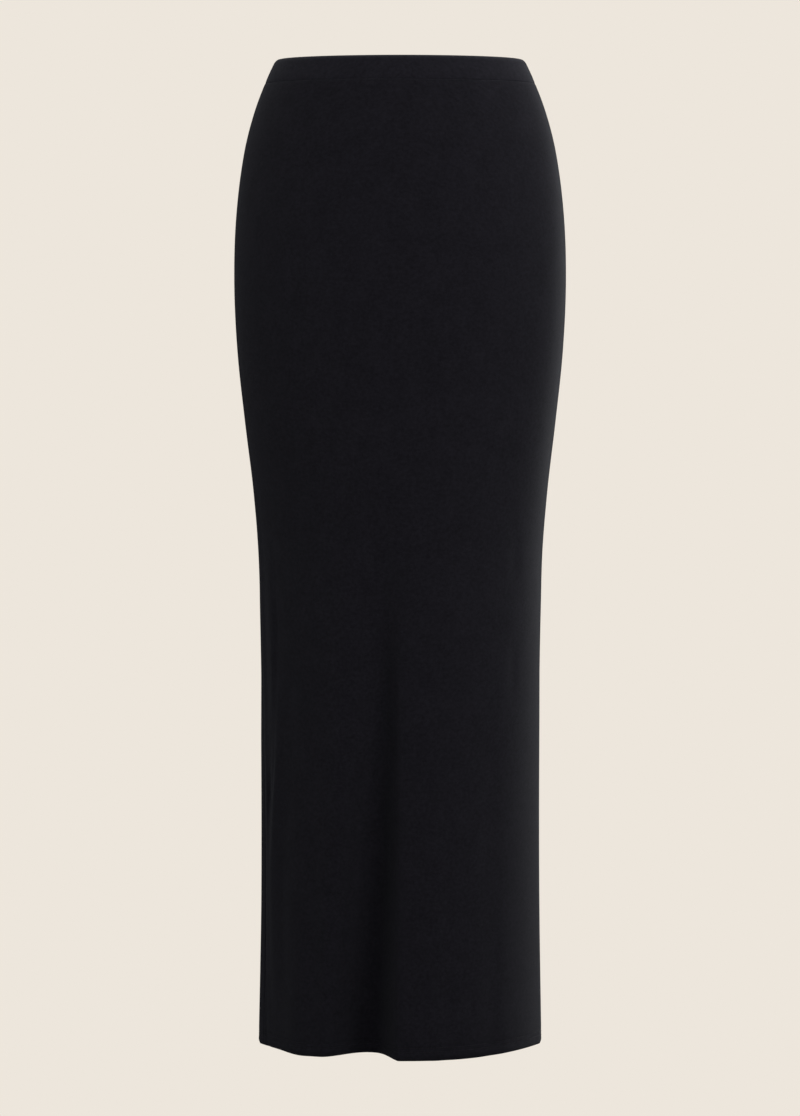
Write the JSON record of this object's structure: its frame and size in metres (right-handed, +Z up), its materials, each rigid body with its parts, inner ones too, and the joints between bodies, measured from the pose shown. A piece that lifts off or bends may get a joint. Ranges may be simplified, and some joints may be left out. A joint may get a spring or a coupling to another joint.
{
  "type": "maxi skirt",
  "caption": "Pull-on column maxi skirt in fine black jersey, hollow as if worn, with a narrow elasticated waistband and a turned-up hem.",
  "frame": {"origin": "middle of the waist opening, level with the waistband's top edge", "axes": "+Z up along the skirt, -Y towards the front, +X towards the viewer's right in the front view"},
  "size_m": [0.3306, 0.2361, 0.984],
  "materials": {
    "jersey": "fine black knit jersey with a faint soft sheen",
    "waistband": "the same black jersey, doubled and drawn smooth over elastic"
  },
  "bodies": {
    "root": {"front_panel": "jersey", "back_panel": "jersey", "waistband_front": "waistband", "waistband_back": "waistband"}
  },
  "joints": []
}
